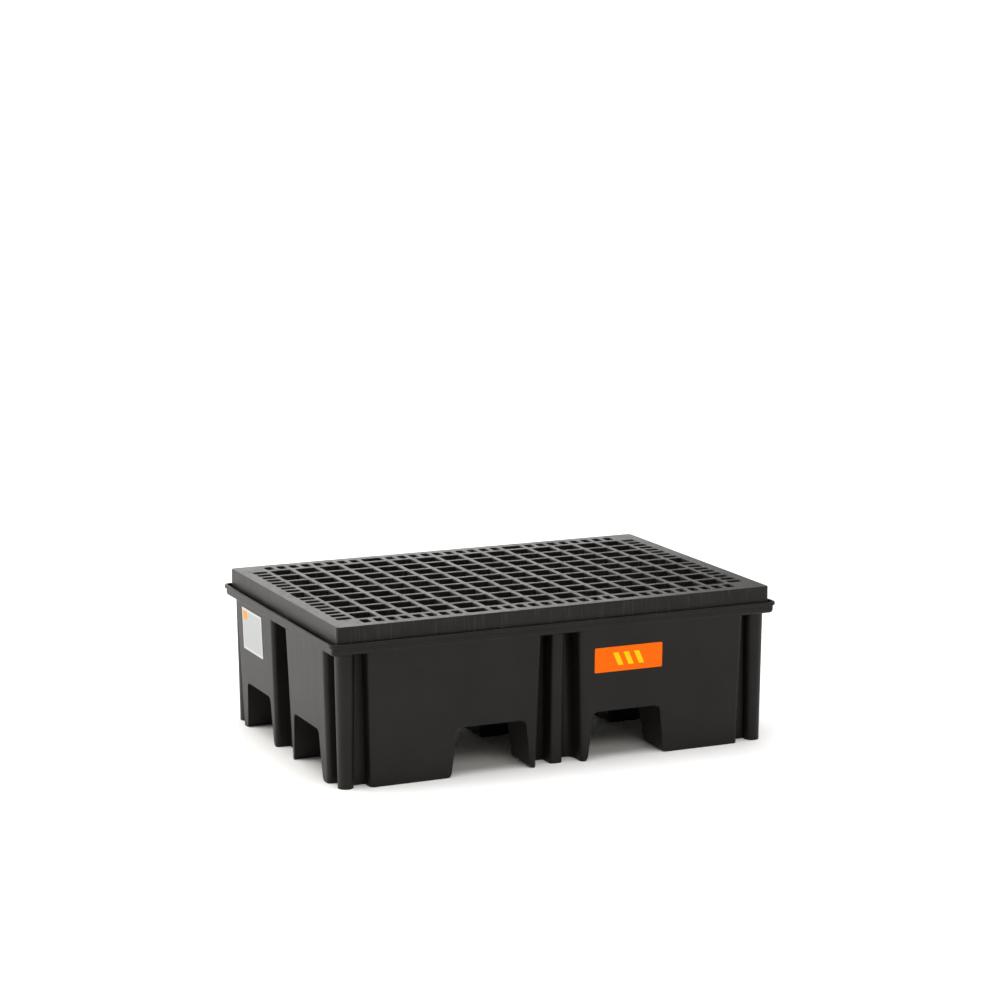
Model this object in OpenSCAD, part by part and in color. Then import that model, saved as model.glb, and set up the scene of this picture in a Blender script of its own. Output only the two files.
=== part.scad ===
// Spill containment pallet: a moulded sump on nine feet, with a lift-out grating.
// Origin at the middle of the footprint on the floor. The long side runs along x and z is up.
// A size "at the top" is at the ledge that the grating rests on.

/* [Overall] */
// Height of the sump's rim above the floor
rim_h = 378; // [310:2:460]
// Height of the grating's top above the rim
deck_rise = 42; // [30:1:60]
// Clearance between the grating and what it rests on
seat_gap = 0.3; // [0.1:0.1:1]

/* [Rim] */
// Outer length of the rim, along x
rim_l = 1260; // [1050:2:1520]
// Outer width of the rim, along y
rim_w = 840; // [700:2:1010]
// Plan corner radius of the rim
rim_r = 18; // [10:1:30]
// Height of the whole rim band
rim_band = 31; // [24:1:40]
// Height of the lip that stands out at the top of the band
lip_h = 10; // [6:1:14]
// How far the lip stands out past the band
lip_out = 5; // [2:0.5:7]
// Thickness of the upstand round the grating
upstand = 6.5; // [5:0.5:8]
// Depth of the ledge below the top of the rim
ledge_drop = 8; // [5:1:16]

/* [Body] */
// Wall thickness of the sump
wall = 7; // [5:0.5:9]
// Gap from the rim's end to the core wall of the body, at the top
end_set = 54; // [48:1:60]
// Gap from the rim's side to the core wall of the body, at the top
side_set = 48; // [42:1:54]
// How much each core wall leans in over its height
core_draft = 6; // [3:1:9]
// Height of the fork channels above the floor
fork_h = 130; // [110:5:155]

/* [Bays] */
// Gap from the rim's side to the face of the side bays, at the top
side_bay_set = 6; // [5:0.5:9]
// How much the faces of the side bays lean in over their height
side_bay_draft = 10; // [6:1:14]
// Gap from the middle of the pallet to the inner edge of a side bay, at the top
side_bay_in = 52; // [46:1:62]
// How much the inner edge of a side bay moves out, top to bottom
side_bay_in_draft = 12; // [4:1:14]
// Gap from the rim's end to the outer edge of a side bay, at the top
side_bay_out = 98; // [92:1:108]
// How much the outer edge of a side bay moves in, top to bottom
side_bay_out_draft = 9; // [4:1:12]
// Gap from the rim's end to the face of the end bays, at the top
end_bay_set = 9; // [6:0.5:12]
// How much the faces of the end bays lean in over their height
end_bay_draft = 13; // [6:1:16]
// Gap from the middle of the pallet to the inner edge of an end bay, at the top
end_bay_in = 50; // [44:1:58]
// How much the inner edge of an end bay moves out, top to bottom
end_bay_in_draft = 10; // [4:1:12]
// Gap from the rim's side to the outer edge of an end bay, at the top
end_bay_out = 80; // [76:1:90]
// How much the outer edge of an end bay moves in, top to bottom
end_bay_out_draft = 12; // [4:1:14]

/* [Posts and ribs] */
// Radius of a corner post at the top
post_r_top = 26; // [22:1:30]
// Radius of a corner post at the floor
post_r_foot = 20; // [18:1:24]
// Gap from the rim's end to the outside of a corner post, at the top
post_end_set = 24; // [22:1:28]
// Gap from the rim's side to the outside of a corner post, at the top
post_side_set = 17; // [15:1:22]
// Width of the rib in the middle of each long side
rib_w = 36; // [28:1:44]
// Gap from the rim's side to the rib's face, at the top
rib_set = 20; // [14:1:26]
// How much the rib's face leans in over its height
rib_draft = 12; // [6:1:16]
// Depth of the groove behind the rib, from the core wall
rib_groove = 26; // [16:1:32]

/* [Fork channels] */
// Length of a side bay's inner foot, from the bay's edge to the channel, at the floor
side_foot_in = 17; // [14:1:30]
// Length of a side bay's outer foot, from the channel to the bay's edge, at the floor
side_foot_out = 220; // [150:2:240]
// Width of an end bay's inner foot, from the bay's edge to the channel, at the floor
end_foot_in = 18; // [14:1:30]
// Width of an end bay's outer foot, from the channel to the bay's edge, at the floor
end_foot_out = 38; // [30:1:80]
// How much each side of a channel leans in over its height
fork_draft = 15; // [8:1:20]

/* [Support pillars] */
// Radius of a pillar under the grating, at the top
pillar_r_top = 32; // [24:1:40]
// Radius of a pillar at the sump's floor
pillar_r_foot = 50; // [42:1:60]

/* [Grating] */
// Gap between the grating and the upstand, at each end
grate_end_gap = 13.5; // [3:0.5:16]
// Gap between the grating and the upstand, at each side
grate_side_gap = 3.5; // [2:0.5:10]
// Plan corner radius of the grating
grate_r = 10; // [5:1:16]
// Number of full cells along the length, an odd number
cells_x = 15; // [11:2:19]
// Number of full cells along the width, an odd number
cells_y = 9; // [7:2:13]
// Number of cells from the middle to a wide slot on the sides
grip_cell = 3; // [1:1:5]
// Width of the plain border at the ends
end_border = 34; // [28:1:44]
// Width of the plain border at the sides
side_border = 31; // [26:1:40]
// Length of the slots along the ends
end_slot = 38; // [30:1:46]
// Length of the slots along the sides
side_slot = 35; // [28:1:42]
// Width of the bar between the end slots and the cells
end_slot_bar = 12.5; // [8:0.5:18]
// Width of the bar between the side slots and the cells
side_slot_bar = 18.5; // [8:0.5:22]
// Width of the bars between cells
bar = 15; // [10:0.5:20]
// Width of the bars between slots
slot_web = 14; // [10:0.5:18]

/* [Labels] */
// Thickness of the label film
film = 0.6; // [0.3:0.1:1]
// Gap between the film and the face behind it
film_gap = 0.05; // [0.02:0.01:0.1]
// Length of the front label
front_label_l = 195; // [150:5:240]
// Height of the front label
front_label_h = 66; // [50:1:80]
// Gap from the inner edge of its bay, at the top, to the front label
front_label_in = 45.5; // [10:0.5:120]
// Gap from the rim band down to the front label
front_label_drop = 47; // [8:1:70]
// Width of the end label
end_label_w = 155; // [100:5:165]
// Height of the end label
end_label_h = 114; // [80:1:130]
// Gap from the outer edge of its bay, at the top, to the end label
end_label_out = 51.5; // [15:0.5:52]
// Gap from the rim band down to the end label
end_label_drop = 9; // [6:1:30]

/* [Hidden] */
$fn = 48;
both = [-1, 1];
eps = 1;

band_z = rim_h - rim_band;
ledge_z = rim_h - ledge_drop;
body_h = ledge_z + eps;
far = rim_l + rim_w;
recess_l = rim_l - 2 * upstand;
recess_w = rim_w - 2 * upstand;

core_x = rim_l / 2 - end_set;
core_y = rim_w / 2 - side_set;
side_bay_y = rim_w / 2 - side_bay_set;
side_bay_x = rim_l / 2 - side_bay_out;
end_bay_x = rim_l / 2 - end_bay_set;
end_bay_y = rim_w / 2 - end_bay_out;
post_x = rim_l / 2 - post_end_set - post_r_top;
post_y = rim_w / 2 - post_side_set - post_r_top;
rib_y = rim_w / 2 - rib_set;
groove_y = core_y - rib_groove;

fork_x_in = side_bay_in + side_bay_in_draft + side_foot_in;
fork_x_out = side_bay_x - side_bay_out_draft - side_foot_out;
fork_y_in = end_bay_in + end_bay_in_draft + end_foot_in;
fork_y_out = end_bay_y - end_bay_out_draft - end_foot_out;
floor_z = fork_h + wall;
pillar_x = (fork_x_in + fork_x_out) / 2;
pillar_y = (fork_y_in + fork_y_out) / 2;

// Where the one moulding is split into its nodes
split_x = fork_x_out + side_foot_out / 2;
split_y = (pillar_y + pillar_r_foot + groove_y - core_draft - wall) / 2;

deck_h = rim_h + deck_rise;
grate_z = ledge_z + seat_gap;
grate_l = recess_l - 2 * grate_end_gap;
grate_w = recess_w - 2 * grate_side_gap;
field_x = grate_l - 2 * (end_border + end_slot + end_slot_bar) + bar;
field_y = grate_w - 2 * (side_border + side_slot + side_slot_bar) + bar;
pitch_x = field_x / cells_x;
pitch_y = field_y / cells_y;
end_slot_x = grate_l / 2 - end_border - end_slot / 2;
side_slot_y = grate_w / 2 - side_border - side_slot / 2;

front_label_x = side_bay_in + front_label_in + front_label_l / 2;
front_label_z = band_z - front_label_drop - front_label_h / 2;
end_label_y = end_bay_y - end_label_out - end_label_w / 2;
end_label_z = band_z - end_label_drop - end_label_h / 2;

// Place of the centre of cell i in a row of n cells
function cell_at(i, n, pitch) = (i - (n - 1) / 2) * pitch;
// Where a face that leans in by draft stands at height z
function face_at(top, draft, z) = top - draft * (body_h - z) / body_h;
// The angle at which that face leans
function lean(draft) = atan(draft / body_h);

// Runs an outline in x and z along y
module along_y() {
    translate([0, far, 0]) rotate([90, 0, 0]) linear_extrude(2 * far) children();
}

// Runs an outline in y and z along x
module along_x() {
    translate([-far, 0, 0]) rotate([90, 0, 90]) linear_extrude(2 * far) children();
}

// Upright outline with its two sides at foot[0] and foot[1] on the floor, and at top[0] and top[1] above
module lean_outline(foot, top) {
    polygon([[foot[0], 0], [foot[1], 0], [top[1], body_h], [top[0], body_h]]);
}

// Body-high block with four leaning sides
module drafted_block(x_foot, x_top, y_foot, y_top) {
    intersection() {
        along_y() lean_outline(x_foot, x_top);
        along_x() lean_outline(y_foot, y_top);
    }
}

// Rounded rectangle about the origin
module rounded_rect(l, w, r) {
    square([l, w - 2 * r], center = true);
    square([l - 2 * r, w], center = true);
    for (sx = both, sy = both) translate([sx * (l / 2 - r), sy * (w / 2 - r)]) circle(r);
}

// Plain box body. In this and the next modules, t is the depth under the outer surface.
module core(t) {
    x = core_x - t;
    y = core_y - t;
    drafted_block([core_draft - x, x - core_draft], [-x, x], [core_draft - y, y - core_draft], [-y, y]);
}

// Two bays on each long side
module side_bays(t) {
    y = side_bay_y - t;
    for (sx = both) scale([sx, 1, 1]) drafted_block(
        [side_bay_in + side_bay_in_draft + t, side_bay_x - side_bay_out_draft - t],
        [side_bay_in + t, side_bay_x - t],
        [side_bay_draft - y, y - side_bay_draft],
        [-y, y]);
}

// Two bays on each short side
module end_bays(t) {
    x = end_bay_x - t;
    for (sy = both) scale([1, sy, 1]) drafted_block(
        [end_bay_draft - x, x - end_bay_draft],
        [-x, x],
        [end_bay_in + end_bay_in_draft + t, end_bay_y - end_bay_out_draft - t],
        [end_bay_in + t, end_bay_y - t]);
}

// Round posts at the four corners
module posts(t) {
    for (sx = both, sy = both) translate([sx * post_x, sy * post_y, 0])
        cylinder(h = body_h, r1 = post_r_foot - t, r2 = post_r_top - t);
}

// Groove between the two bays of each long side, deeper than the core wall
module rib_grooves(t) {
    x = side_bay_in + t;
    y = groove_y - t;
    for (sy = both) scale([1, sy, 1]) drafted_block(
        [-side_bay_in_draft - x, x + side_bay_in_draft],
        [-x, x],
        [y - core_draft, far],
        [y, far]);
}

// Rib that stands in the groove
module ribs(t) {
    x = rib_w / 2 - t;
    y = rib_y - t;
    drafted_block([-x, x], [-x, x], [rib_draft - y, y - rib_draft], [-y, y]);
}

// Upright outline of a channel between its two sides
module channel_outline(inner, outer, t) {
    polygon([[inner - t, -eps], [outer + t, -eps], [outer - fork_draft + t, fork_h + t],
             [inner + fork_draft - t, fork_h + t]]);
}

// Fork channels both ways, which leave nine feet
module fork_channels(t) {
    for (s = both) {
        scale([s, 1, 1]) along_y() channel_outline(fork_x_in, fork_x_out, t);
        scale([1, s, 1]) along_x() channel_outline(fork_y_in, fork_y_out, t);
    }
}

// The whole body below the ledge
module body(t) {
    difference() {
        union() {
            difference() {
                union() {
                    core(t);
                    side_bays(t);
                    end_bays(t);
                    posts(t);
                }
                rib_grooves(t);
            }
            ribs(t);
        }
        fork_channels(t);
    }
}

// Band and lip round the top of the sump
module rim() {
    translate([0, 0, band_z]) linear_extrude(rim_h - band_z)
        rounded_rect(rim_l - 2 * lip_out, rim_w - 2 * lip_out, rim_r - lip_out);
    translate([0, 0, rim_h - lip_h]) linear_extrude(lip_h) rounded_rect(rim_l, rim_w, rim_r);
}

// Recess in the rim that takes the grating
module recess() {
    translate([0, 0, ledge_z]) linear_extrude(rim_h) rounded_rect(recess_l, recess_w, rim_r - upstand);
}

// Cones at the crossings of the channels, t inside the surface of the pillars
module pillars(z0, z1, t) {
    for (sx = both, sy = both) translate([sx * pillar_x, sy * pillar_y, z0])
        cylinder(h = z1 - z0, r1 = pillar_r_foot - t, r2 = pillar_r_top - t);
}

module pillars_outside() {
    pillars(floor_z - eps, ledge_z, 0);
}

module pillars_inside() {
    pillars(fork_h - eps, ledge_z - wall, wall);
}

// The one-piece moulding with its feet, fork channels and hollow pillars
module moulding() {
    difference() {
        union() {
            body(0);
            rim();
        }
        difference() {
            body(wall);
            block(far, far, -eps, wall);
            pillars_outside();
        }
        pillars_inside();
        recess();
    }
}

// Everything up to x and y from the middle of the pallet, between two heights
module block(x, y, z0, z1) {
    translate([-x, -y, z0]) cube([2 * x, 2 * y, z1 - z0]);
}

// Long walls of the basin between the ends, with their ledge and rim
module sump_sides() {
    color("#3a3734") difference() {
        intersection() {
            moulding();
            block(split_x, far, floor_z, rim_h + eps);
        }
        block(far, split_y, 0, rim_h + eps);
    }
}

// Short walls of the basin with its corners, ledge and rim, which carry on from the long walls
module sump_ends() {
    color("#3a3734") difference() {
        moulding();
        block(far, far, -eps, floor_z);
        block(split_x, far, 0, rim_h + eps);
    }
}

// Floor of the basin, which is also the roof of the fork channels, open over the feet
module sump_floor() {
    color("#3a3734") intersection() {
        moulding();
        block(far, far, fork_h, floor_z);
    }
}

// Hollow pillars that stand on the floor, under the grating
module sump_pillars() {
    color("#3a3734") difference() {
        pillars_outside();
        pillars_inside();
        block(far, far, -eps, floor_z);
    }
}

// Nine hollow feet, open at the top: the moulding below the roofs of the fork channels
module sump_feet() {
    color("#3a3734") intersection() {
        moulding();
        block(far, far, -eps, fork_h);
    }
}

// Openings of the grating
module openings() {
    for (i = [0:cells_x - 1], j = [0:cells_y - 1])
        translate([cell_at(i, cells_x, pitch_x), cell_at(j, cells_y, pitch_y)])
            square([pitch_x - bar, pitch_y - bar], center = true);
    for (s = both, i = [0:cells_x - 1])
        translate([cell_at(i, cells_x, pitch_x), s * side_slot_y])
            slots(pitch_x, side_slot, abs(i - (cells_x - 1) / 2) == grip_cell);
    for (s = both, j = [0:cells_y - 1])
        translate([s * end_slot_x, cell_at(j, cells_y, pitch_y)]) rotate(90)
            slots(pitch_y, end_slot, j == (cells_y - 1) / 2);
}

// One wide slot, or a pair of narrow ones, in the length of one cell
module slots(pitch, length, wide) {
    if (wide) square([pitch - slot_web, length], center = true);
    else for (s = both) translate([s * pitch / 4, 0]) square([pitch / 2 - slot_web, length], center = true);
}

// Lift-out grating
module grating() {
    color("#6c6a66") translate([0, 0, grate_z]) linear_extrude(deck_h - grate_z) difference() {
        rounded_rect(grate_l, grate_w, grate_r);
        openings();
    }
}

// Sheet of film, x long and z high, that lies film_gap off the plane y = 0 on its -y side
module sheet(l, h) {
    translate([-l / 2, -film - film_gap, -h / 2]) cube([l, film, h]);
}

// Coloured label on the right-hand front bay
module front_label() {
    color("#ff6a13") translate([front_label_x, -face_at(side_bay_y, side_bay_draft, front_label_z), front_label_z])
        rotate([lean(side_bay_draft), 0, 0]) sheet(front_label_l, front_label_h);
}

// White label on the left bay of the near end
module end_label() {
    color("#f4f4f0") translate([-face_at(end_bay_x, end_bay_draft, end_label_z), end_label_y, end_label_z])
        rotate([0, -lean(end_bay_draft), 0]) rotate(-90) sheet(end_label_w, end_label_h);
}

sump_sides();
sump_ends();
sump_floor();
sump_pillars();
sump_feet();
grating();
front_label();
end_label();
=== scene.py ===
"""A spill containment pallet: the shapes and materials of its sump, its grating and its two labels."""
import itertools
import math

import bmesh
import bpy
import mathutils
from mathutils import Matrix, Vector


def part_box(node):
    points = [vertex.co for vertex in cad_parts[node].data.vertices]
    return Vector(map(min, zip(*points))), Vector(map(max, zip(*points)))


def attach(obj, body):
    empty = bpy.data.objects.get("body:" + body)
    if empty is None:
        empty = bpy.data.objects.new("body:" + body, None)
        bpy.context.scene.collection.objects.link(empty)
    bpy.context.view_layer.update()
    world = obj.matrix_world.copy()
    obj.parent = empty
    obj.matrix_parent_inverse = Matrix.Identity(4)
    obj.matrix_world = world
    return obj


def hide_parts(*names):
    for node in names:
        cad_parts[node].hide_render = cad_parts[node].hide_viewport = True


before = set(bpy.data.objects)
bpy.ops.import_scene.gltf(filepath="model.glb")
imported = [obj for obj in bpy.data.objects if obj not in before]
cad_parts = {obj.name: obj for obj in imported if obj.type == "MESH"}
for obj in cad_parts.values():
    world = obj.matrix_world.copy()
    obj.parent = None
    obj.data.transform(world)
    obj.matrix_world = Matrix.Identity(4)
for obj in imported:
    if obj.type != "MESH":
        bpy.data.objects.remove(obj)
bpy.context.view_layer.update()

SUMP_NODES = [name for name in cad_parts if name.startswith("sump")]
sump_high = [max(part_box(name)[1][axis] for name in SUMP_NODES) for axis in range(3)]
grating_low, grating_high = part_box("grating")

# Sizes in metres. A size "at the top" is at BODY_TOP, and every side leans in towards the floor.
HALF_L = sump_high[0]
HALF_W = sump_high[1]
RIM_TOP = sump_high[2]
WALL = 0.007
UPSTAND = 0.0065
LEDGE_Z = RIM_TOP - 0.008
BODY_TOP = LEDGE_Z + 0.001
BAND_Z = RIM_TOP - 0.031
LIP_H = 0.010
LIP_OUT = 0.005
RIM_R = 0.018

CORE_X = HALF_L - 0.054
CORE_Y = HALF_W - 0.048
CORE_DRAFT = 0.006
SIDE_BAY_Y = HALF_W - 0.006
SIDE_BAY_DRAFT = 0.010
SIDE_BAY_IN = 0.052
SIDE_BAY_IN_DRAFT = 0.012
SIDE_BAY_OUT = HALF_L - 0.098
SIDE_BAY_OUT_DRAFT = 0.009
END_BAY_X = HALF_L - 0.009
END_BAY_DRAFT = 0.013
END_BAY_IN = 0.050
END_BAY_IN_DRAFT = 0.010
END_BAY_OUT = HALF_W - 0.080
END_BAY_OUT_DRAFT = 0.012
POST_R_TOP = 0.026
POST_R_FOOT = 0.020
POST_X = HALF_L - 0.024 - POST_R_TOP
POST_Y = HALF_W - 0.017 - POST_R_TOP
RIB_X = 0.018
RIB_Y = HALF_W - 0.020
RIB_DRAFT = 0.012
GROOVE_Y = CORE_Y - 0.026
FORK_H = 0.130
FORK_DRAFT = 0.015
FORK_X = (0.081, 0.303)
FORK_Y = (0.078, 0.290)
PILLAR_R_TOP = 0.032
PILLAR_R_FOOT = 0.050
PILLAR_X = sum(FORK_X) / 2
PILLAR_Y = sum(FORK_Y) / 2

# Radii of the moulding's roundings
BAY_ROUND = 0.012
RIB_ROUND = 0.010
GROOVE_ROUND = 0.020
CHANNEL_ROUND = 0.013
FOOT_ROUND = 0.012
MOUTH_ROUND = 0.0025
BAND_ROUND = 0.009
LIP_ROUND = 0.002

# How far the cutting shapes reach: past the outside, below the floor, and under the rounding of a foot
OUTSIDE = 0.2
BELOW = 0.05
FLARE_REACH = FOOT_ROUND + 0.002
# The least step between two faces that would otherwise share a plane
HAIR = 0.0001
OVERRUN_STEP = 0.0005
OVERRUNS = itertools.count(1)

# What counts as a level face, as lying at one height, as a turn at a channel's mouth, and as one point
LEVEL = 0.9
SAME_HEIGHT = 0.00005
MOUTH_TURN = 0.7
WELD = 0.00002

# Grating
GRATING_Z = grating_low[2]
DECK_Z = grating_high[2]
GRATING_R = 0.010
HOLE_ROUND = 0.005
BAR_ROUND = 0.0022
CELLS_X = 15
CELLS_Y = 9
GRIP_CELL = 3
BAR = 0.015
SLOT_WEB = 0.014
END_SLOT = 0.038
SIDE_SLOT = 0.035
END_BORDER = 0.034
SIDE_BORDER = 0.031
END_SLOT_BAR = 0.0125
SIDE_SLOT_BAR = 0.0185
PITCH_X = (2 * (grating_high[0] - END_BORDER - END_SLOT - END_SLOT_BAR) + BAR) / CELLS_X
PITCH_Y = (2 * (grating_high[1] - SIDE_BORDER - SIDE_SLOT - SIDE_SLOT_BAR) + BAR) / CELLS_Y
END_SLOT_X = grating_high[0] - END_BORDER - END_SLOT / 2
SIDE_SLOT_Y = grating_high[1] - SIDE_BORDER - SIDE_SLOT / 2

# Labels
FILM = 0.0006
LABEL_ROUND = 0.003
BAR_STEP = 0.030
BAR_WIDTH = 0.015
BAR_HEIGHT = 0.034
BAR_SLANT = 0.45
PANEL_EDGE = 0.006
PATCH_L = 0.040
PATCH_H = 0.030

# Studio
FLOOR_HALF = 40
BACKDROP_H = 2.5
LENS = 100.43
CAMERA_PLACE = (-2.9802, -6.7203, 1.93104)
CAMERA_TURN = (math.radians(90 - 10.035), 0, math.radians(-24.0147))
CAMERA_ROLL = -0.0021
WORLD_LIGHT = 0.22
OVERHEAD_LIGHT = 3.0
OVERHEAD_SPREAD = math.radians(60)
LIGHTS_AIM = (0, 0, 0.2)
# Name, place, size, power and colour of each soft light
SOFT_LIGHTS = (
    ("left_panel", (-5.5, 2.6, 1.6), (5.0, 3.2), 365, (1.0, 0.96, 0.90)),
    ("back_panel", (1.0, 7.0, 2.4), (6.0, 2.6), 215, (1.0, 0.99, 0.98)),
    ("front_panel", (0.5, -7.0, 5.5), (5.0, 3.0), 160, (1.0, 0.96, 0.90)),
)

BOTH = (-1, 1)


# ---------------------------------------------------------------- modelling tools

def only(piece):
    """Makes piece the one selected and active object."""
    bpy.ops.object.select_all(action="DESELECT")
    piece.select_set(True)
    bpy.context.view_layer.objects.active = piece


def pick(piece, kind, wanted):
    """In edit mode, selects the vertices, edges or faces of piece for which wanted is true."""
    bpy.ops.mesh.select_mode(type=kind)
    bpy.ops.mesh.select_all(action="DESELECT")
    mesh = bmesh.from_edit_mesh(piece.data)
    mesh.normal_update()
    for part in {"VERT": mesh.verts, "EDGE": mesh.edges, "FACE": mesh.faces}[kind]:
        if wanted(part):
            part.select_set(True)
    mesh.select_flush_mode()
    bmesh.update_edit_mesh(piece.data)


def middle(span):
    return (span[0] + span[1]) / 2


def width(span):
    return span[1] - span[0]


def run_on(near, end, share):
    """Moves the range end on, away from near, by a share of the way between them."""
    return tuple(e + (e - n) * share for n, e in zip(near, end))


def overrun():
    """How far the next shape runs past both ends: each its own, so that no two end faces share a plane."""
    return OVERRUN_STEP * next(OVERRUNS)


def drafted_body(name, x_foot, x_top, y_foot, y_top):
    """A drafted block as high as the body, with its overrun."""
    past = overrun()
    share = past / BODY_TOP
    return drafted_block(
        name, run_on(x_top, x_foot, share), run_on(x_foot, x_top, share),
        run_on(y_top, y_foot, share), run_on(y_foot, y_top, share), -past, BODY_TOP + past)


def drafted_block(name, x_foot, x_top, y_foot, y_top, z_foot, z_top):
    """A block with leaning sides, from the ranges that its foot and its top cover along x and y."""
    bpy.ops.object.select_all(action="DESELECT")
    bpy.ops.mesh.primitive_cube_add(
        size=1,
        location=(middle(x_top), middle(y_top), (z_foot + z_top) / 2),
        scale=(width(x_top), width(y_top), z_top - z_foot))
    block = bpy.context.active_object
    block.name = name
    bpy.ops.object.transform_apply(location=True, rotation=True, scale=True)
    bpy.ops.object.mode_set(mode="EDIT")
    pick(block, "VERT", lambda v: v.co.z < (z_foot + z_top) / 2)
    bpy.ops.transform.resize(
        value=(width(x_foot) / width(x_top), width(y_foot) / width(y_top), 1),
        center_override=(middle(x_top), middle(y_top), z_foot))
    bpy.ops.transform.translate(value=(middle(x_foot) - middle(x_top), middle(y_foot) - middle(y_top), 0))
    bpy.ops.object.mode_set(mode="OBJECT")
    return block


def upright(edge):
    """True for an edge that runs up a side."""
    run = edge.verts[1].co - edge.verts[0].co
    return abs(run.z) > 0.8 * run.length


def round_edges(piece, radius, segments, wanted=upright):
    """Bevels the edges of piece for which wanted is true."""
    only(piece)
    bpy.ops.object.mode_set(mode="EDIT")
    pick(piece, "EDGE", wanted)
    bpy.ops.mesh.bevel(
        offset=radius, offset_type="OFFSET", segments=segments, affect="EDGES", clamp_overlap=True)
    bpy.ops.object.mode_set(mode="OBJECT")
    return piece


def combine(piece, others, operation):
    """Adds, subtracts or intersects others, which are used up."""
    for other in others:
        cut = piece.modifiers.new(other.name, "BOOLEAN")
        cut.operation = operation
        cut.solver = "EXACT"
        cut.material_mode = "TRANSFER"
        cut.object = other
        only(piece)
        bpy.ops.object.modifier_apply(modifier=cut.name)
        bpy.data.objects.remove(other)
    return piece


def finish_mesh(piece, sharp_angle=32):
    """Merges doubles, turns all normals outwards and shades flat faces flat and roundings smooth."""
    only(piece)
    bpy.ops.object.mode_set(mode="EDIT")
    bpy.ops.mesh.select_all(action="SELECT")
    bpy.ops.mesh.remove_doubles(threshold=WELD)
    bpy.ops.mesh.dissolve_degenerate(threshold=WELD)
    bpy.ops.mesh.normals_make_consistent(inside=False)
    bpy.ops.object.mode_set(mode="OBJECT")
    bpy.ops.object.shade_smooth_by_angle(angle=math.radians(sharp_angle))
    weighted = piece.modifiers.new("flat_faces_stay_flat", "WEIGHTED_NORMAL")
    weighted.keep_sharp = True
    bpy.ops.object.modifier_apply(modifier=weighted.name)
    return piece


# ---------------------------------------------------------------- sump

def core(t):
    """Plain box body. Here and in the next functions, t is the depth under the outer surface."""
    x = CORE_X - t
    y = CORE_Y - t
    return drafted_body(
        "core", (CORE_DRAFT - x, x - CORE_DRAFT), (-x, x), (CORE_DRAFT - y, y - CORE_DRAFT), (-y, y))


def mirrored(span, side):
    """The range span, or its mirror image where side is -1."""
    return span if side > 0 else (-span[1], -span[0])


def side_bays(t, radius):
    """A pair of blocks along y, whose ends are the bays of the long sides."""
    y = SIDE_BAY_Y - t
    foot = (SIDE_BAY_IN + SIDE_BAY_IN_DRAFT + t, SIDE_BAY_OUT - SIDE_BAY_OUT_DRAFT - t)
    top = (SIDE_BAY_IN + t, SIDE_BAY_OUT - t)
    return [
        round_edges(drafted_body(
            "side_bays", mirrored(foot, side), mirrored(top, side),
            (SIDE_BAY_DRAFT - y, y - SIDE_BAY_DRAFT), (-y, y)),
            radius, 5)
        for side in BOTH]


def end_bays(t, radius):
    """A pair of blocks along x, whose ends are the bays of the short sides."""
    x = END_BAY_X - t
    foot = (END_BAY_IN + END_BAY_IN_DRAFT + t, END_BAY_OUT - END_BAY_OUT_DRAFT - t)
    top = (END_BAY_IN + t, END_BAY_OUT - t)
    return [
        round_edges(drafted_body(
            "end_bays", (END_BAY_DRAFT - x, x - END_BAY_DRAFT), (-x, x),
            mirrored(foot, side), mirrored(top, side)),
            radius, 5)
        for side in BOTH]


def cone(name, x, y, z_foot, z_top, r_foot, r_top):
    """An upright round piece."""
    bpy.ops.object.select_all(action="DESELECT")
    bpy.ops.mesh.primitive_cone_add(
        vertices=48, radius1=r_foot, radius2=r_top,
        depth=z_top - z_foot, location=(x, y, (z_foot + z_top) / 2))
    piece = bpy.context.active_object
    piece.name = name
    bpy.ops.object.transform_apply(location=True, rotation=True, scale=True)
    return piece


def posts(t):
    """Round posts at the four corners, with their overrun."""
    past = overrun()
    r_foot = POST_R_FOOT - t
    r_top = POST_R_TOP - t
    more = (r_top - r_foot) * past / BODY_TOP
    return [
        cone("post", sx * POST_X, sy * POST_Y, -past, BODY_TOP + past, r_foot - more, r_top + more)
        for sx in BOTH for sy in BOTH]


def pillars(z_foot, z_top, t):
    """Pillars under the grating, where the fork channels cross."""
    return [
        cone("pillar", sx * PILLAR_X, sy * PILLAR_Y, z_foot, z_top, PILLAR_R_FOOT - t, PILLAR_R_TOP - t)
        for sx in BOTH for sy in BOTH]


def rib_grooves(t):
    """Grooves between the bays of the long sides, a little narrower than the space between them."""
    x = SIDE_BAY_IN + t - 2 * HAIR
    y = GROOVE_Y - t
    return [
        round_edges(drafted_body(
            "rib_groove", (-SIDE_BAY_IN_DRAFT - x, x + SIDE_BAY_IN_DRAFT), (-x, x),
            mirrored((y - CORE_DRAFT, HALF_W + OUTSIDE), side), mirrored((y, HALF_W + OUTSIDE), side)),
            GROOVE_ROUND + t, 6)
        for side in BOTH]


def ribs(t, radius):
    """A block along y, whose ends are the ribs in the two grooves."""
    x = RIB_X - t
    y = RIB_Y - t
    return round_edges(
        drafted_body("ribs", (-x, x), (-x, x), (RIB_DRAFT - y, y - RIB_DRAFT), (-y, y)), radius, 5)


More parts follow.
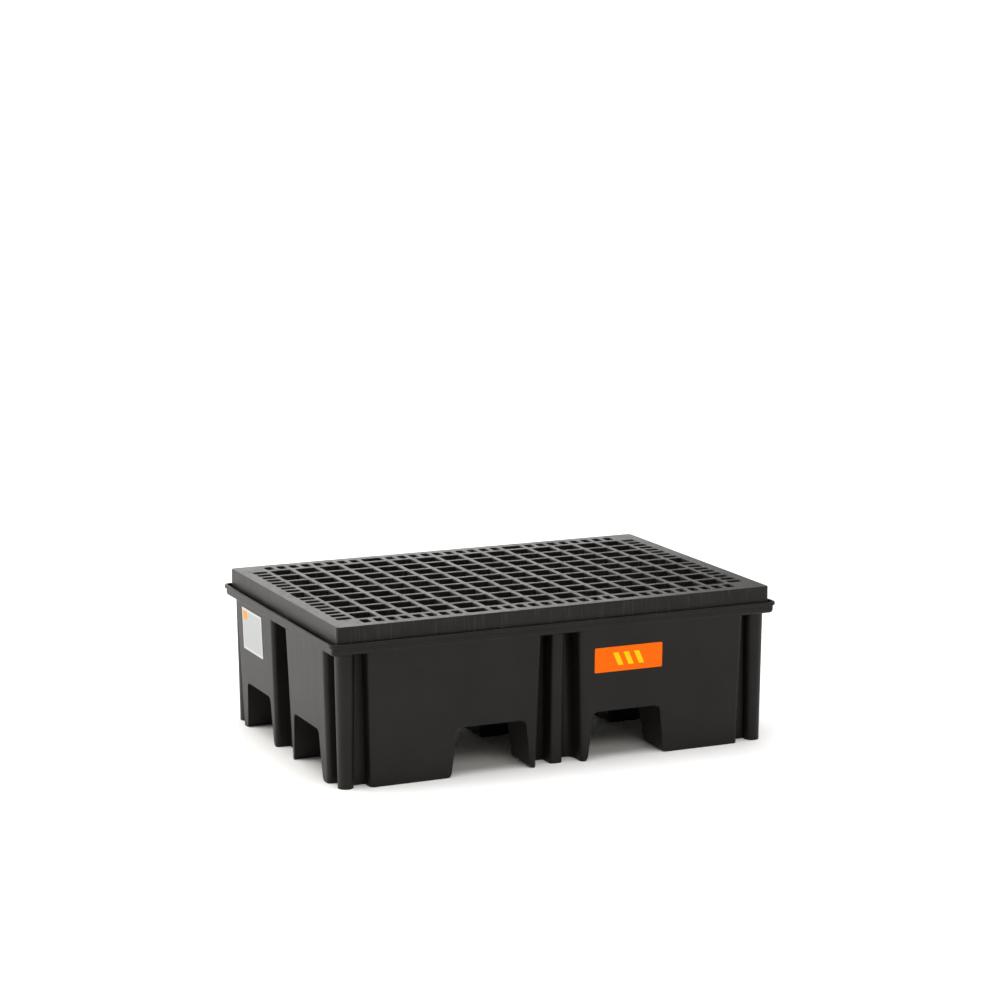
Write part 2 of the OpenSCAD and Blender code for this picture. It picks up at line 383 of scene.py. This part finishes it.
def fork_channel(t, side, along_y):
    """One channel, rounded along its roof. Roofs that cross lie a hair apart."""
    inner, outer = FORK_X if along_y else FORK_Y
    height = FORK_H + t - (0 if along_y else HAIR)
    below = -BELOW if t else -HAIR
    foot = mirrored((inner - t, outer + t), side)
    roof = mirrored((inner + FORK_DRAFT - t, outer - FORK_DRAFT + t), side)
    foot = run_on(roof, foot, -below / height)
    run = (-HALF_L - OUTSIDE, HALF_L + OUTSIDE)
    spans = (foot, roof, run, run) if along_y else (run, run, foot, roof)
    block = drafted_block("fork_channel", *spans, below, height)
    long_way = 1 if along_y else 0

    def long_edge(edge):
        return abs(edge.verts[0].co[long_way] - edge.verts[1].co[long_way]) > HALF_L

    def roof_edge(edge):
        return long_edge(edge) and min(v.co.z for v in edge.verts) > 0

    round_edges(block, CHANNEL_ROUND + t, 6, roof_edge)
    if t == 0:
        flare(block, foot, along_y)
        round_edges(block, FOOT_ROUND, 6, lambda edge: long_edge(edge) and not edge.is_convex)
    return block


def flare(block, foot, along_y):
    """Widens a channel just under the floor, so that the feet beside it can be rounded."""
    wider = 1 + 2 * FLARE_REACH / width(foot)
    bpy.ops.object.mode_set(mode="EDIT")
    pick(block, "FACE", lambda face: face.normal.z < -LEVEL)
    bpy.ops.mesh.extrude_region_move(
        TRANSFORM_OT_translate={"value": (0, 0, -HAIR if along_y else -2 * HAIR)})
    bpy.ops.transform.resize(
        value=(wider, 1, 1) if along_y else (1, wider, 1),
        center_override=(middle(foot) if along_y else 0, 0 if along_y else middle(foot), 0))
    bpy.ops.mesh.extrude_region_move(TRANSFORM_OT_translate={"value": (0, 0, -BELOW - overrun())})
    bpy.ops.object.mode_set(mode="OBJECT")


def fork_channels(t):
    """Two channels each way."""
    return [fork_channel(t, side, along_y) for along_y in (True, False) for side in BOTH]


def slab(name, z_foot, z_top):
    """A block that covers everything between two heights."""
    x = (-HALF_L - OUTSIDE, HALF_L + OUTSIDE)
    y = (-HALF_W - OUTSIDE, HALF_W + OUTSIDE)
    return drafted_block(name, x, x, y, y, z_foot, z_top)


def body(t, z_foot, bay_radius, rib_radius):
    """The whole body below the ledge, cut by its fork channels and flat at z_foot."""
    block = core(t)
    combine(block, side_bays(t, bay_radius) + end_bays(t, bay_radius) + posts(t), "UNION")
    combine(block, rib_grooves(t), "DIFFERENCE")
    combine(block, [ribs(t, rib_radius)], "UNION")
    channels = fork_channels(t)
    for piece, colour in [(block, "skin")] + [(channel, "channel") for channel in channels]:
        piece.data.materials.clear()
        piece.data.materials.append(bpy.data.materials.get(colour) or bpy.data.materials.new(colour))
    combine(block, channels, "DIFFERENCE")
    return combine(block, [slab("between_foot_and_ledge", z_foot, BODY_TOP)], "INTERSECT")


def plate(name, half_l, half_w, radius, z_foot, z_top, segments=6):
    """A flat plate with rounded corners."""
    spans = ((-half_l, half_l), (-half_l, half_l), (-half_w, half_w), (-half_w, half_w))
    return round_edges(drafted_block(name, *spans, z_foot, z_top), radius, segments)


def side_edge_at(z):
    """Picks the edges at height z that a level face shares with a side."""
    def wanted(edge):
        if len(edge.link_faces) != 2 or any(abs(v.co.z - z) >= SAME_HEIGHT for v in edge.verts):
            return False
        return sum(abs(face.normal.z) > LEVEL for face in edge.link_faces) == 1

    return wanted


def mouth_edge(piece):
    """Picks the edges where a fork channel comes out through a side."""
    names = [slot.name for slot in piece.material_slots]

    def wanted(edge):
        if len(edge.link_faces) != 2 or not edge.is_convex or edge.calc_face_angle() <= MOUTH_TURN:
            return False
        return sum(names[face.material_index] == "channel" for face in edge.link_faces) == 1

    return wanted


def rim():
    """Band and lip round the top, with a rounded lower edge."""
    band = plate("band", HALF_L - LIP_OUT, HALF_W - LIP_OUT, RIM_R - LIP_OUT, BAND_Z, RIM_TOP - LIP_H / 2)
    round_edges(band, BAND_ROUND, 6, side_edge_at(BAND_Z))
    lip = plate("lip", HALF_L, HALF_W, RIM_R, RIM_TOP - LIP_H, RIM_TOP)
    round_edges(lip, LIP_ROUND, 3, side_edge_at(RIM_TOP - LIP_H))
    return combine(band, [lip], "UNION")


def cavity():
    """The hollow of the basin and the feet, with the pillars left standing in it."""
    hollow = body(WALL, WALL, BAY_ROUND - WALL, RIB_ROUND - WALL)
    return combine(hollow, pillars(0, BODY_TOP + WALL, 0), "DIFFERENCE")


def make_sump():
    """One moulding: nine hollow feet, fork channels, bays, ribs and posts, hollow pillars, ledge and rim."""
    sump = body(0, 0, BAY_ROUND, RIB_ROUND)
    round_edges(sump, MOUTH_ROUND, 2, mouth_edge(sump))
    combine(sump, [rim()], "UNION")
    combine(sump, [cavity()] + pillars(0, LEDGE_Z - WALL, WALL), "DIFFERENCE")
    recess = plate("recess", HALF_L - UPSTAND, HALF_W - UPSTAND, RIM_R - UPSTAND, LEDGE_Z, RIM_TOP + OUTSIDE)
    combine(sump, [recess], "DIFFERENCE")
    round_edges(sump, LIP_ROUND, 3, side_edge_at(RIM_TOP))
    return finish_mesh(sump)


# ---------------------------------------------------------------- grating

def rounded_hole(name, half_x, half_y, x, y):
    """Upright block that cuts one opening with rounded corners."""
    x_span = (x - half_x, x + half_x)
    y_span = (y - half_y, y + half_y)
    block = drafted_block(name, x_span, x_span, y_span, y_span, GRATING_Z - OUTSIDE, DECK_Z + OUTSIDE)
    return round_edges(block, HOLE_ROUND, 3)


def repeat(piece, count, step_x, step_y):
    """Copies piece count times, a step apart, as one mesh."""
    row = piece.modifiers.new("row", "ARRAY")
    row.count = count
    row.use_relative_offset = False
    row.use_constant_offset = True
    row.constant_offset_displace = (step_x, step_y, 0)
    only(piece)
    bpy.ops.object.modifier_apply(modifier=row.name)
    return piece


def duplicates(piece, places):
    """Copies of piece, each with its own mesh, one at each of places. The pattern itself is used up."""
    copies = []
    for x, y in places:
        only(piece)
        bpy.ops.object.duplicate()
        bpy.ops.transform.translate(value=(x, y, 0))
        bpy.ops.object.transform_apply(location=True, rotation=True, scale=True)
        copies.append(bpy.context.active_object)
    bpy.data.objects.remove(piece)
    return copies


def joined(pieces):
    """One object made of pieces."""
    only(pieces[0])
    for piece in pieces:
        piece.select_set(True)
    bpy.ops.object.join()
    return pieces[0]


def cell_places(count, pitch):
    """Where the middles of a centred row of cells lie."""
    return [(cell - (count - 1) / 2) * pitch for cell in range(count)]


def holes():
    """All the openings: the field of cells, and the rows of slots along the sides and ends."""
    first_x = cell_places(CELLS_X, PITCH_X)[0]
    first_y = cell_places(CELLS_Y, PITCH_Y)[0]
    field = rounded_hole("field", (PITCH_X - BAR) / 2, (PITCH_Y - BAR) / 2, first_x, first_y)
    repeat(repeat(field, CELLS_X, PITCH_X, 0), CELLS_Y, 0, PITCH_Y)

    side_pair = rounded_hole("side_slot", (PITCH_X / 2 - SLOT_WEB) / 2, SIDE_SLOT / 2, 0, 0)
    side_wide = rounded_hole("side_grip", (PITCH_X - SLOT_WEB) / 2, SIDE_SLOT / 2, 0, 0)
    grips = (-GRIP_CELL * PITCH_X, GRIP_CELL * PITCH_X)
    pairs = [x for x in cell_places(CELLS_X, PITCH_X) if min(abs(x - grip) for grip in grips) > PITCH_X / 2]
    side_slots = duplicates(side_pair, [
        (x + half * PITCH_X / 4, side * SIDE_SLOT_Y) for x in pairs for half in BOTH for side in BOTH])
    side_grips = duplicates(side_wide, [(x, side * SIDE_SLOT_Y) for x in grips for side in BOTH])

    end_pair = rounded_hole("end_slot", END_SLOT / 2, (PITCH_Y / 2 - SLOT_WEB) / 2, 0, 0)
    end_wide = rounded_hole("end_grip", END_SLOT / 2, (PITCH_Y - SLOT_WEB) / 2, 0, 0)
    pairs = [y for y in cell_places(CELLS_Y, PITCH_Y) if abs(y) > PITCH_Y / 2]
    end_slots = duplicates(end_pair, [
        (side * END_SLOT_X, y + half * PITCH_Y / 4) for y in pairs for half in BOTH for side in BOTH])
    end_grips = duplicates(end_wide, [(side * END_SLOT_X, 0) for side in BOTH])
    return joined([field] + side_slots + side_grips + end_slots + end_grips)


def make_grating():
    """Slotted deck with rounded bars, which lifts out of the rim."""
    deck = plate("grating_deck", grating_high[0], grating_high[1], GRATING_R, GRATING_Z, DECK_Z)
    combine(deck, [holes()], "DIFFERENCE")
    round_edges(deck, BAR_ROUND, 3, side_edge_at(DECK_Z))
    return finish_mesh(deck)


# ---------------------------------------------------------------- labels

def label(name, node, lean_axis, draft):
    """A film with rounded corners, in the place and at the lean of its CAD node."""
    low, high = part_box(node)
    lean = math.atan(draft / BODY_TOP)
    long_way = 0 if lean_axis == "X" else 1
    film_l = high[long_way] - low[long_way]
    film_h = (high[2] - low[2] - FILM * math.sin(lean)) / math.cos(lean)
    centre = [(low[axis] + high[axis]) / 2 for axis in range(3)]
    across = 1 - long_way
    half = [film_l / 2, film_l / 2, film_h / 2]
    half[across] = FILM / 2
    spans = ((-half[0], half[0]), (-half[0], half[0]), (-half[1], half[1]), (-half[1], half[1]))
    film = drafted_block(name, *spans, -half[2], half[2])

    def corner(edge):
        run = [abs(edge.verts[0].co[axis] - edge.verts[1].co[axis]) for axis in range(3)]
        return run[across] > FILM / 2 and run[2] < FILM / 2 and run[long_way] < FILM / 2

    round_edges(film, LABEL_ROUND, 4, corner)
    only(film)
    film.rotation_euler[0 if lean_axis == "X" else 1] = lean if lean_axis == "X" else -lean
    film.location = centre
    bpy.ops.object.transform_apply(location=True, rotation=True, scale=True)
    return finish_mesh(film)


# ---------------------------------------------------------------- materials

class Value:
    """A node socket that takes part in sums: each operator adds one Math node."""

    def __init__(self, tree, socket):
        self.tree = tree
        self.socket = socket

    def math(self, operation, first, second=None):
        node = self.tree.nodes.new("ShaderNodeMath")
        node.operation = operation
        for slot, value in enumerate((first, second)):
            if isinstance(value, Value):
                self.tree.links.new(value.socket, node.inputs[slot])
            elif value is not None:
                node.inputs[slot].default_value = value
        return Value(self.tree, node.outputs[0])

    def __add__(self, other):
        return self.math("ADD", self, other)

    __radd__ = __add__

    def __mul__(self, other):
        return self.math("MULTIPLY", self, other)

    __rmul__ = __mul__

    def __sub__(self, other):
        return self.math("SUBTRACT", self, other)

    def __rsub__(self, other):
        return self.math("SUBTRACT", other, self)

    def __truediv__(self, other):
        return self.math("DIVIDE", self, other)

    def __gt__(self, other):
        return self.math("GREATER_THAN", self, other)

    def __lt__(self, other):
        return self.math("LESS_THAN", self, other)

    def __abs__(self):
        return self.math("ABSOLUTE", self)

    def __mod__(self, other):
        return self.math("FLOORED_MODULO", self, other)

    def highest(self, other):
        return self.math("MAXIMUM", self, other)

    def between(self, low, high):
        """0 below low and 1 above high, with a smooth rise between them."""
        share = (self - low) / (high - low)
        held = self.math("MINIMUM", share.highest(0.0), 1.0)
        return held * held * (3.0 - 2.0 * held)


class Finish:
    """A material and its nodes."""

    def __init__(self, name):
        self.material = bpy.data.materials.new(name)
        self.material.use_nodes = True
        self.tree = self.material.node_tree
        self.surface = self.tree.nodes["Principled BSDF"]

    def node(self, kind, settings=None, inputs=None, output=0):
        """Adds a node with its settings, then feeds its inputs, and gives the output asked for."""
        node = self.tree.nodes.new(kind)
        for name, value in (settings or {}).items():
            setattr(node, name, value)
        for name, value in (inputs or {}).items():
            self.feed(node.inputs[name], value)
        return Value(self.tree, node.outputs[output])

    def feed(self, socket, value):
        if isinstance(value, Value):
            self.tree.links.new(value.socket, socket)
        else:
            socket.default_value = value

    def place(self, scale=(1, 1, 1)):
        """Object coordinates, scaled."""
        coordinates = self.node("ShaderNodeTexCoord", output="Object")
        return self.node("ShaderNodeMapping", None, {"Vector": coordinates, "Scale": scale})

    def axes(self):
        """The x, y and z of a point, as three values."""
        split = self.node("ShaderNodeSeparateXYZ", None, {0: self.place()})
        return [Value(self.tree, socket) for socket in split.socket.node.outputs]

    def noise(self, scale, detail=3.0, roughness=0.5, stretch=(1, 1, 1)):
        """Noise on object coordinates, which stretch scales along each axis."""
        return self.node("ShaderNodeTexNoise", None, {
            "Vector": self.place(stretch), "Scale": scale, "Detail": detail, "Roughness": roughness})

    def mix(self, share, first, second):
        """A colour that goes from first to second as share goes from 0 to 1."""
        return self.node("ShaderNodeMix", {"data_type": "RGBA"}, {0: share, 6: first, 7: second}, 2)

    def grain(self, height, depth):
        """A bump of that height pattern, depth metres high, on the whole surface."""
        return self.node("ShaderNodeBump", None, {"Height": height, "Strength": 1.0, "Distance": depth})

    def skin(self, colour, roughness, normal=None, specular=0.5):
        surface = self.surface.inputs
        self.feed(surface["Base Color"], colour)
        self.feed(surface["Roughness"], roughness)
        surface["Specular IOR Level"].default_value = specular
        if normal is not None:
            self.feed(surface["Normal"], normal)
        return self.material


def facing_up(finish):
    """1 on faces that look up, 0 on all others."""
    normal = finish.node("ShaderNodeNewGeometry", output="Normal")
    return finish.node("ShaderNodeSeparateXYZ", None, {0: normal}, 2).between(0.6, 0.95)


def sump_plastic():
    """Black moulded polyethylene: satin, fine grain, faint draw marks down its sides, dust on its ledges."""
    finish = Finish("sump_plastic")
    blotches = finish.noise(7.0, 4.0, 0.55)
    fine = finish.noise(1400.0, 2.0)
    draw_marks = finish.noise(1.0, 4.0, 0.6, (55, 55, 2.2))
    dust = facing_up(finish) * finish.noise(60.0, 5.0, 0.65).between(0.42, 0.75)
    black = finish.mix(blotches.between(0.3, 0.7), (0.0070, 0.0063, 0.0052, 1), (0.0108, 0.0098, 0.0082, 1))
    colour = finish.mix(dust * 0.35, black, (0.075, 0.07, 0.062, 1))
    roughness = 0.36 + blotches * 0.10 + draw_marks * 0.10 + dust * 0.2
    return finish.skin(colour, roughness, finish.grain(fine * 0.6 + draw_marks * 0.4, 0.00016), 0.21)


def grating_plastic():
    """Black polyethylene that loads have scuffed grey, rougher than the sump, with streaks up its edge."""
    finish = Finish("grating_plastic")
    blotches = finish.noise(9.0, 5.0, 0.6)
    fine = finish.noise(900.0, 3.0)
    scuffs = finish.noise(3.0, 5.0, 0.7, (30, 9, 9)).between(0.5, 0.72) * facing_up(finish)
    streaks = finish.noise(1.0, 4.0, 0.65, (150, 150, 9)).between(0.5, 0.72) * (1 - facing_up(finish))
    black = finish.mix(blotches.between(0.3, 0.7), (0.0060, 0.0056, 0.0050, 1), (0.0115, 0.0107, 0.0094, 1))
    colour = finish.mix(scuffs * 0.36 + streaks * 0.24, black, (0.085, 0.08, 0.072, 1))
    roughness = 0.40 + blotches * 0.14 + scuffs * 0.16 + streaks * 0.14
    return finish.skin(colour, roughness, finish.grain(fine * 0.7 + streaks * 0.5, 0.00035), 0.24)


def film_wear(finish):
    """Slight unevenness of a stuck-down film."""
    return finish.noise(38.0, 3.0, 0.55)


def orange_film():
    """Orange film printed with three slanted yellow bars."""
    finish = Finish("orange_film")
    low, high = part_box("front_label")
    x, _, z = finish.axes()
    along = x - (low[0] + high[0]) / 2
    up = z - (low[2] + high[2]) / 2
    slanted = along + up * BAR_SLANT
    within = (abs(slanted) < 1.5 * BAR_STEP) * (abs(up) < BAR_HEIGHT / 2)
    bars = within * (abs((slanted + BAR_STEP / 2) % BAR_STEP - BAR_STEP / 2) < BAR_WIDTH / 2)
    wear = film_wear(finish)
    orange = finish.mix(wear, (0.94, 0.135, 0.0, 1), (1.0, 0.165, 0.0, 1))
    colour = finish.mix(bars, orange, (1.0, 0.62, 0.005, 1))
    return finish.skin(colour, 0.46 + wear * 0.16, finish.grain(wear, 0.0001), 0.1)


def white_film():
    """White film with a plain grey panel and a small orange patch in its upper corner."""
    finish = Finish("white_film")
    low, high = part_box("end_label")
    _, y, z = finish.axes()
    across = y - (low[1] + high[1]) / 2
    up = z - (low[2] + high[2]) / 2
    half_w = (high[1] - low[1]) / 2
    half_h = (high[2] - low[2]) / 2
    panel = (abs(across) < half_w - PANEL_EDGE) * (abs(up) < half_h - PANEL_EDGE)
    patch = (across > half_w - PATCH_L) * (across < half_w - PANEL_EDGE) * (
        (up > half_h - PATCH_H) * (up < half_h - PANEL_EDGE))
    wear = film_wear(finish)
    white = finish.mix(wear, (0.40, 0.41, 0.41, 1), (0.45, 0.46, 0.46, 1))
    paper = finish.mix(panel, white, (0.31, 0.325, 0.335, 1))
    colour = finish.mix(patch, paper, (0.58, 0.20, 0.004, 1))
    return finish.skin(colour, 0.4 + wear * 0.14, finish.grain(wear, 0.0001), 0.2)


def floor_finish():
    """Plain pale floor."""
    finish = Finish("studio_floor")
    mottle = finish.noise(2.0)
    return finish.skin(finish.mix(mottle, (0.94, 0.94, 0.94, 1), (0.96, 0.96, 0.96, 1)), 0.9, None, 0.1)


def backdrop_finish():
    """White, lit from behind."""
    finish = Finish("studio_backdrop")
    finish.surface.inputs["Emission Color"].default_value = (1, 1, 1, 1)
    finish.surface.inputs["Emission Strength"].default_value = 1.0
    return finish.material


# ---------------------------------------------------------------- put together

def dress(piece, name, body, slot, finish, *nodes):
    """Gives a finished piece its name, its body, its finish and the CAD nodes that it stands for."""
    piece.name = name
    piece.data.name = name
    piece.data.materials.clear()
    piece.data.materials.append(finish)
    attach(piece, body)
    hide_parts(*nodes)


def make_studio():
    """Pale floor, soft lights and the camera."""
    bpy.ops.object.select_all(action="DESELECT")
    bpy.ops.mesh.primitive_plane_add(size=2 * FLOOR_HALF, location=(0, 0, 0))
    ground = bpy.context.active_object
    ground.name = "studio_floor"
    ground.data.materials.append(floor_finish())

    bpy.ops.object.select_all(action="DESELECT")
    bpy.ops.mesh.primitive_plane_add(
        size=2 * FLOOR_HALF, location=(0, FLOOR_HALF, 0), rotation=(math.radians(90), 0, 0))
    backdrop = bpy.context.active_object
    backdrop.name = "studio_backdrop"
    backdrop.scale.y = BACKDROP_H / FLOOR_HALF
    backdrop.data.materials.append(backdrop_finish())

    world = bpy.data.worlds.new("studio")
    world.use_nodes = True
    world.node_tree.nodes["Background"].inputs["Color"].default_value = (1.0, 0.97, 0.92, 1)
    world.node_tree.nodes["Background"].inputs["Strength"].default_value = WORLD_LIGHT
    bpy.context.scene.world = world

    for name, place, size, power, colour in SOFT_LIGHTS:
        light = bpy.data.lights.new(name, "AREA")
        light.shape = "RECTANGLE"
        light.size, light.size_y = size
        light.energy = power
        light.color = colour
        lamp = bpy.data.objects.new(name, light)
        lamp.location = place
        aim = mathutils.Vector(LIGHTS_AIM) - lamp.location
        lamp.rotation_euler = aim.to_track_quat("-Z", "Y").to_euler()
        lamp.visible_camera = False
        bpy.context.scene.collection.objects.link(lamp)

    sky = bpy.data.lights.new("overhead", "SUN")
    sky.energy = OVERHEAD_LIGHT
    sky.angle = OVERHEAD_SPREAD
    overhead = bpy.data.objects.new("overhead", sky)
    bpy.context.scene.collection.objects.link(overhead)

    camera = bpy.data.cameras.new("camera")
    camera.lens = LENS
    camera.sensor_width = 36
    camera.clip_end = 200
    eye = bpy.data.objects.new("camera", camera)
    eye.location = CAMERA_PLACE
    turn = mathutils.Euler(CAMERA_TURN)
    turn.rotate_axis("Z", CAMERA_ROLL)
    eye.rotation_euler = turn
    bpy.context.scene.collection.objects.link(eye)
    bpy.context.scene.camera = eye
    bpy.context.scene.view_settings.view_transform = "Standard"


make_studio()
dress(make_sump(), "sump_moulding", "sump_body", "sump_plastic", sump_plastic(), *SUMP_NODES)
dress(make_grating(), "deck_grating", "grating_body", "grating_plastic", grating_plastic(), "grating")
dress(label("front", "front_label", "X", SIDE_BAY_DRAFT),
      "front_label_film", "sump_body", "orange_film", orange_film(), "front_label")
dress(label("end", "end_label", "Y", END_BAY_DRAFT),
      "end_label_film", "sump_body", "white_film", white_film(), "end_label")
